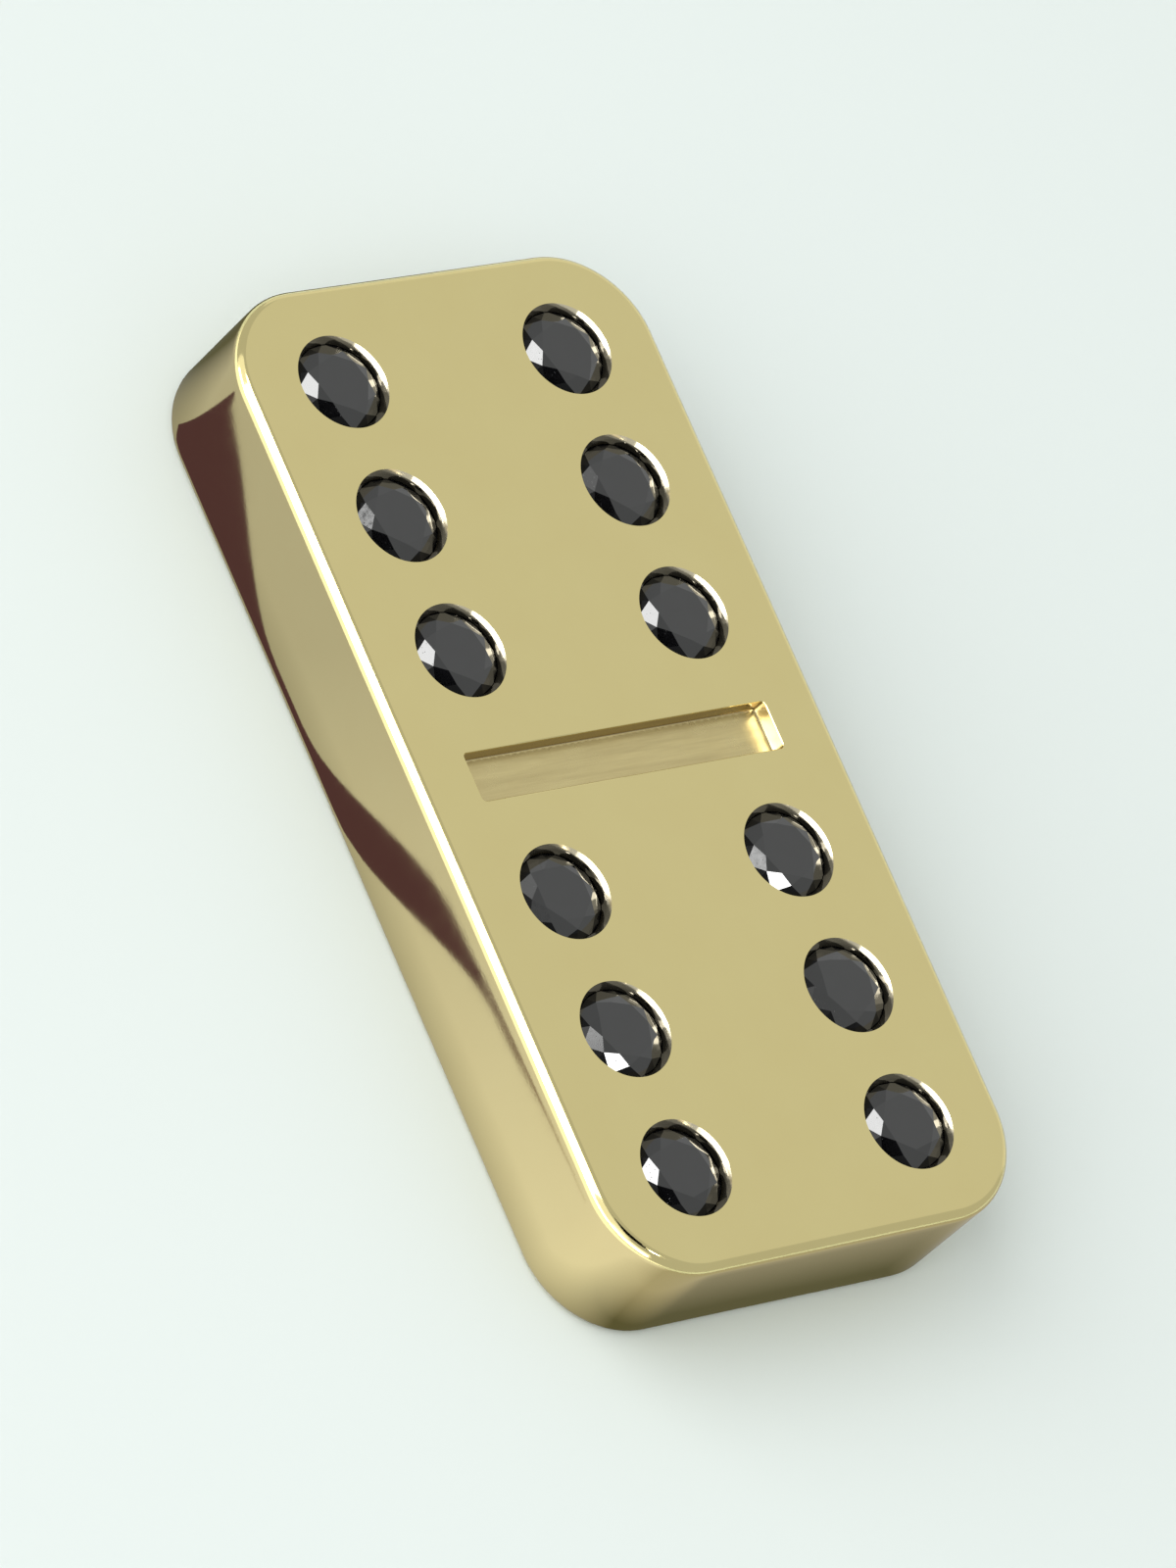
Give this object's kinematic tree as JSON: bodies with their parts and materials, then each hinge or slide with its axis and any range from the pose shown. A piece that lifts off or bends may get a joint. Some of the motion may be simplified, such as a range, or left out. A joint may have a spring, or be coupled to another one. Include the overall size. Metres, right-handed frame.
{
  "type": "domino tile",
  "caption": "Small domino tile: a polished gold slab with rounded corners, a recessed bar across the middle and faceted black stones set flush as the pips.",
  "frame": {"origin": "the middle of the tile's flat back, on the surface that it lies on", "axes": "+Z out of the pip face, which looks up; +Y along the tile's length, towards its upper half; +X along its width, to the right when the face is read with the upper half at the top"},
  "size_m": [0.0144, 0.03, 0.004],
  "materials": {
    "gold": "polished",
    "black_stone": "polished"
  },
  "bodies": {
    "root": {"tile_body": "gold", "stone_upper_left_inner": "black_stone", "stone_upper_left_middle": "black_stone", "stone_upper_left_outer": "black_stone", "stone_upper_right_inner": "black_stone", "stone_upper_right_middle": "black_stone", "stone_upper_right_outer": "black_stone", "stone_lower_left_inner": "black_stone", "stone_lower_left_middle": "black_stone", "stone_lower_left_outer": "black_stone", "stone_lower_right_inner": "black_stone", "stone_lower_right_middle": "black_stone", "stone_lower_right_outer": "black_stone"}
  },
  "joints": []
}
